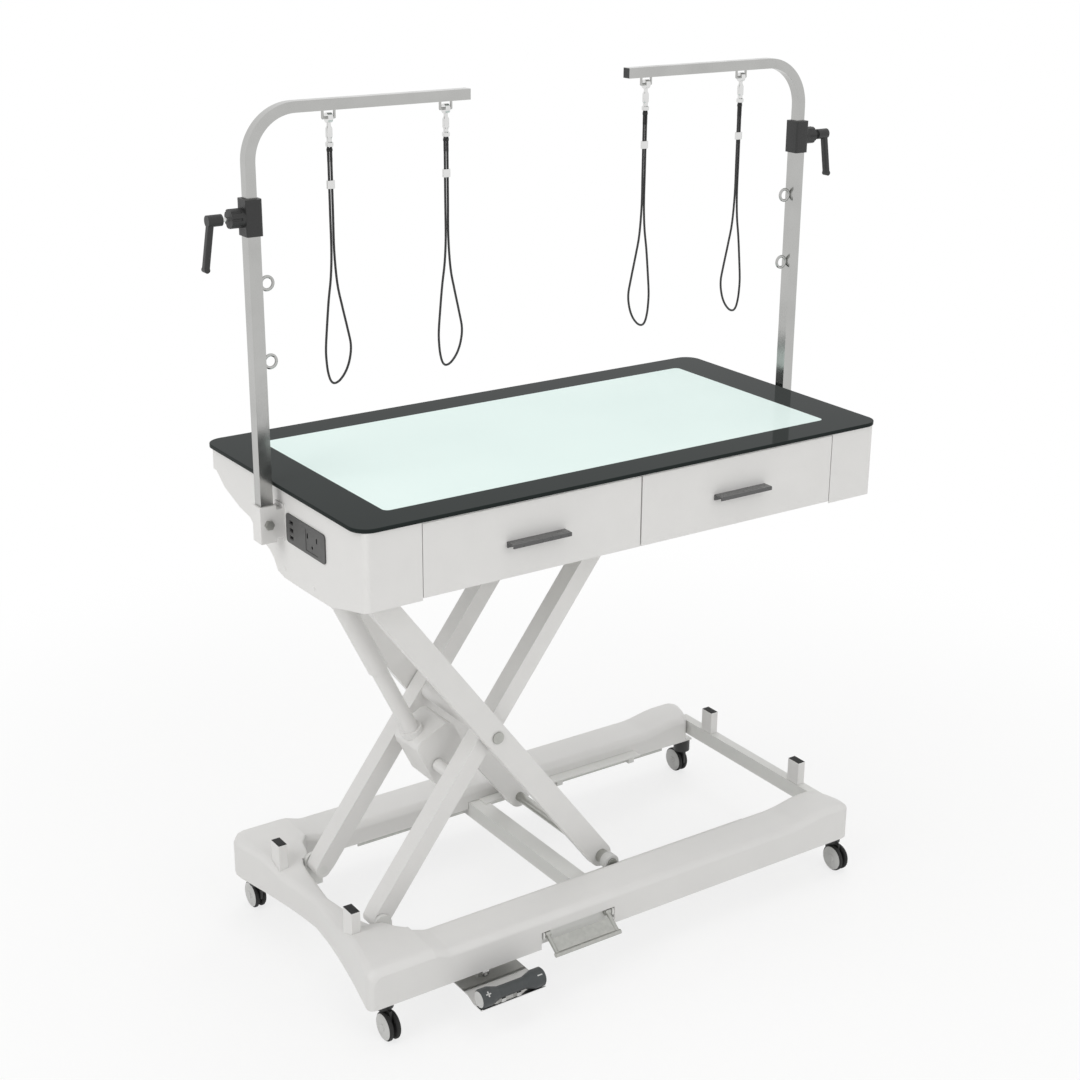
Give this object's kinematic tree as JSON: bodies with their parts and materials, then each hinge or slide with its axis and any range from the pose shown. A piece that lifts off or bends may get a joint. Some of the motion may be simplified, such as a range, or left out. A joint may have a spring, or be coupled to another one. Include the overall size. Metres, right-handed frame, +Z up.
{
  "type": "electric grooming table",
  "caption": "Electric pet grooming table: lit glass top on a drawer casing, motor-driven scissor lift, wheeled base with foot pedals, clamped overhead arms with nooses.",
  "frame": {"origin": "on the floor under the middle of the glass top", "axes": "+X right along the top, +Y to the back, +Z up; the drawers face -Y"},
  "size_m": [1.472, 0.7365, 1.7834],
  "materials": {
    "painted_steel": "smooth",
    "shaded_steel": "smooth",
    "zinc_steel": "satin",
    "polished_steel": "polished",
    "black_paint": "satin",
    "tempered_glass": "glossy",
    "light_panel": "lit",
    "white_plastic": "smooth",
    "black_plastic": "satin",
    "black_rubber": "matte",
    "grey_rubber": "matte",
    "handle_metal": "satin",
    "black_cord": "woven"
  },
  "bodies": {
    "base": {"base_frame": "shaded_steel", "front_rail_cover": "white_plastic", "rear_rail_cover": "white_plastic", "left_end_cover": "white_plastic", "rest_posts": "shaded_steel"},
    "brake_rod": {"brake_rod": "zinc_steel"},
    "pedal": {"pedal_plate": "polished_steel", "rocker_pedal": "black_rubber"},
    "brake_lever": {"brake_lever": "zinc_steel"},
    "inner_arms": {"inner_arms": "painted_steel", "pivot_pins": "zinc_steel"},
    "outer_arms": {"outer_arms": "painted_steel", "roller_shaft": "polished_steel"},
    "lower_rollers": {"lower_rollers": "grey_rubber"},
    "upper_rollers": {"upper_rollers": "grey_rubber"},
    "actuator": {"actuator_motor": "shaded_steel", "actuator_tube": "painted_steel"},
    "actuator_sleeve": {"actuator_sleeve": "painted_steel"},
    "table": {"table_frame": "shaded_steel", "casing_shell": "painted_steel", "underside_pan": "shaded_steel", "glass_top": "tempered_glass", "light_panel": "light_panel", "control_box": "black_plastic", "outlet_panel": "black_plastic", "outlet_inserts": "black_plastic", "arm_sockets": "shaded_steel", "drawer_slides": "zinc_steel"},
    "drawer_left": {"drawer_left": "painted_steel", "drawer_handle_left": "handle_metal"},
    "drawer_right": {"drawer_right": "painted_steel", "drawer_handle_right": "handle_metal"},
    "left_mast": {"lower_post_left": "polished_steel", "clamp_sleeve_left": "black_plastic"},
    "left_arm": {"upper_arm_left": "polished_steel"},
    "clamp_lever_left": {"clamp_lever_left": "black_plastic"},
    "noose_left_outer": {"noose_hook_left_outer": "polished_steel", "noose_cord_left_outer": "black_cord"},
    "noose_slider_left_outer": {"noose_slider_left_outer": "polished_steel"},
    "noose_left_inner": {"noose_hook_left_inner": "polished_steel", "noose_cord_left_inner": "black_cord"},
    "noose_slider_left_inner": {"noose_slider_left_inner": "polished_steel"},
    "right_mast": {"lower_post_right": "polished_steel", "clamp_sleeve_right": "black_plastic"},
    "right_arm": {"upper_arm_right": "polished_steel"},
    "clamp_lever_right": {"clamp_lever_right": "black_plastic"},
    "noose_right_outer": {"noose_hook_right_outer": "polished_steel", "noose_cord_right_outer": "black_cord"},
    "noose_slider_right_outer": {"noose_slider_right_outer": "polished_steel"},
    "noose_right_inner": {"noose_hook_right_inner": "polished_steel", "noose_cord_right_inner": "black_cord"},
    "noose_slider_right_inner": {"noose_slider_right_inner": "polished_steel"},
    "caster_fork_front_left": {"caster_fork_front_left": "black_paint"},
    "caster_wheel_front_left": {"caster_wheel_front_left": "black_rubber"},
    "caster_fork_rear_left": {"caster_fork_rear_left": "black_paint"},
    "caster_wheel_rear_left": {"caster_wheel_rear_left": "black_rubber"},
    "caster_fork_front_right": {"caster_fork_front_right": "black_paint"},
    "caster_wheel_front_right": {"caster_wheel_front_right": "black_rubber"},
    "caster_fork_rear_right": {"caster_fork_rear_right": "black_paint"},
    "caster_wheel_rear_right": {"caster_wheel_rear_right": "black_rubber"}
  },
  "joints": [
    {"name": "lift", "type": "hinge", "parent": "base", "child": "inner_arms", "pos_m": [-0.5, 0, 0.158], "axis": [0, -1, 0], "range_deg": [-47.8, 2.8]},
    {"name": "scissor_cross", "type": "hinge", "parent": "inner_arms", "child": "outer_arms", "pos_m": [-0.23643, 0, 0.51032], "axis": [0, -1, 0], "range_deg": [-5.6, 95.6]},
    {"name": "table_pivot", "type": "hinge", "parent": "outer_arms", "child": "table", "pos_m": [-0.5, 0, 0.86264], "axis": [0, -1, 0], "range_deg": [-47.8, 2.8]},
    {"name": "lower_roller_spin", "type": "hinge", "parent": "outer_arms", "child": "lower_rollers", "pos_m": [0.02714, 0, 0.158], "axis": [0, 1, 0], "continuous": true},
    {"name": "upper_roller_spin", "type": "hinge", "parent": "inner_arms", "child": "upper_rollers", "pos_m": [0.02714, 0, 0.86264], "axis": [0, 1, 0], "continuous": true},
    {"name": "motor_pivot", "type": "hinge", "parent": "inner_arms", "child": "actuator", "pos_m": [-0.30532, 0, 0.41824], "axis": [0, -1, 0], "range_deg": [-6, 102]},
    {"name": "actuator_stroke", "type": "slide", "parent": "actuator", "child": "actuator_sleeve", "axis": [-0.4329, 0, 0.9015], "range_m": [-0.17, 0.012]},
    {"name": "drawer_left_slide", "type": "slide", "parent": "table", "child": "drawer_left", "axis": [0, -1, 0], "range_m": [0, 0.26]},
    {"name": "drawer_right_slide", "type": "slide", "parent": "table", "child": "drawer_right", "axis": [0, -1, 0], "range_m": [0, 0.26]},
    {"name": "left_post_height", "type": "slide", "parent": "table", "child": "left_mast", "axis": [0, 0, 1], "range_m": [-0.04, 0.02]},
    {"name": "left_arm_height", "type": "slide", "parent": "left_mast", "child": "left_arm", "axis": [0, 0, 1], "range_m": [-0.055, 0.3]},
    {"name": "clamp_lever_left_turn", "type": "hinge", "parent": "left_mast", "child": "clamp_lever_left", "pos_m": [-0.64, 0.01, 1.57044], "axis": [1, 0, 0], "range_deg": [0, 100]},
    {"name": "noose_left_outer_swing", "type": "hinge", "parent": "left_arm", "child": "noose_left_outer", "pos_m": [-0.478, 0.01, 1.73244], "axis": [1, 0, 0], "range_deg": [-60, 60]},
    {"name": "noose_left_outer_slider", "type": "slide", "parent": "noose_left_outer", "child": "noose_slider_left_outer", "axis": [0, 0, 1], "range_m": [-0.1, 0.05]},
    {"name": "noose_left_inner_swing", "type": "hinge", "parent": "left_arm", "child": "noose_left_inner", "pos_m": [-0.233, 0.01, 1.73244], "axis": [1, 0, 0], "range_deg": [-60, 60]},
    {"name": "noose_left_inner_slider", "type": "slide", "parent": "noose_left_inner", "child": "noose_slider_left_inner", "axis": [0, 0, 1], "range_m": [-0.1, 0.05]},
    {"name": "right_post_height", "type": "slide", "parent": "table", "child": "right_mast", "axis": [0, 0, 1], "range_m": [-0.04, 0.02]},
    {"name": "right_arm_height", "type": "slide", "parent": "right_mast", "child": "right_arm", "axis": [0, 0, 1], "range_m": [-0.025, 0.3]},
    {"name": "clamp_lever_right_turn", "type": "hinge", "parent": "right_mast", "child": "clamp_lever_right", "pos_m": [0.64, 0.01, 1.61744], "axis": [1, 0, 0], "range_deg": [0, 100]},
    {"name": "noose_right_outer_swing", "type": "hinge", "parent": "right_arm", "child": "noose_right_outer", "pos_m": [0.478, 0.01, 1.74944], "axis": [1, 0, 0], "range_deg": [-60, 60]},
    {"name": "noose_right_outer_slider", "type": "slide", "parent": "noose_right_outer", "child": "noose_slider_right_outer", "axis": [0, 0, 1], "range_m": [-0.1, 0.05]},
    {"name": "noose_right_inner_swing", "type": "hinge", "parent": "right_arm", "child": "noose_right_inner", "pos_m": [0.233, 0.01, 1.74944], "axis": [1, 0, 0], "range_deg": [-60, 60]},
    {"name": "noose_right_inner_slider", "type": "slide", "parent": "noose_right_inner", "child": "noose_slider_right_inner", "axis": [0, 0, 1], "range_m": [-0.1, 0.05]},
    {"name": "caster_front_left_swivel", "type": "hinge", "parent": "base", "child": "caster_fork_front_left", "pos_m": [-0.571, -0.276, 0.066], "axis": [0, 0, 1], "continuous": true},
    {"name": "caster_front_left_roll", "type": "hinge", "parent": "caster_fork_front_left", "child": "caster_wheel_front_left", "pos_m": [-0.571, -0.294, 0.03], "axis": [1, 0, 0], "continuous": true},
    {"name": "caster_rear_left_swivel", "type": "hinge", "parent": "base", "child": "caster_fork_rear_left", "pos_m": [-0.571, 0.276, 0.066], "axis": [0, 0, 1], "continuous": true},
    {"name": "caster_rear_left_roll", "type": "hinge", "parent": "caster_fork_rear_left", "child": "caster_wheel_rear_left", "pos_m": [-0.571, 0.294, 0.03], "axis": [1, 0, 0], "continuous": true},
    {"name": "caster_front_right_swivel", "type": "hinge", "parent": "base", "child": "caster_fork_front_right", "pos_m": [0.603, -0.276, 0.066], "axis": [0, 0, 1], "continuous": true},
    {"name": "caster_front_right_roll", "type": "hinge", "parent": "caster_fork_front_right", "child": "caster_wheel_front_right", "pos_m": [0.603, -0.294, 0.03], "axis": [1, 0, 0], "continuous": true},
    {"name": "caster_rear_right_swivel", "type": "hinge", "parent": "base", "child": "caster_fork_rear_right", "pos_m": [0.603, 0.276, 0.066], "axis": [0, 0, 1], "continuous": true},
    {"name": "caster_rear_right_roll", "type": "hinge", "parent": "caster_fork_rear_right", "child": "caster_wheel_rear_right", "pos_m": [0.603, 0.294, 0.03], "axis": [1, 0, 0], "continuous": true},
    {"name": "pedal_rock", "type": "hinge", "parent": "base", "child": "pedal", "pos_m": [-0.35, -0.278, 0.084], "axis": [0, 1, 0], "range_deg": [-3, 3], "stiffness_Nm_per_rad": 6},
    {"name": "brake_lever_turn", "type": "hinge", "parent": "base", "child": "brake_lever", "pos_m": [-0.14, -0.32, 0.126], "axis": [1, 0, 0], "range_deg": [-15, 15]},
    {"name": "brake_rod_slide", "type": "slide", "parent": "base", "child": "brake_rod", "axis": [1, 0, 0], "range_m": [-0.008, 0.008]}
  ],
  "couplings": [
    {"joint": "scissor_cross", "follows": "lift", "ratio": -2},
    {"joint": "table_pivot", "follows": "lift", "ratio": 1},
    {"joint": "motor_pivot", "follows": "lift", "ratio": -2.12},
    {"joint": "actuator_stroke", "follows": "lift", "m_per_rad": 0.195},
    {"joint": "brake_rod_slide", "follows": "brake_lever_turn", "m_per_rad": 0.03}
  ]
}
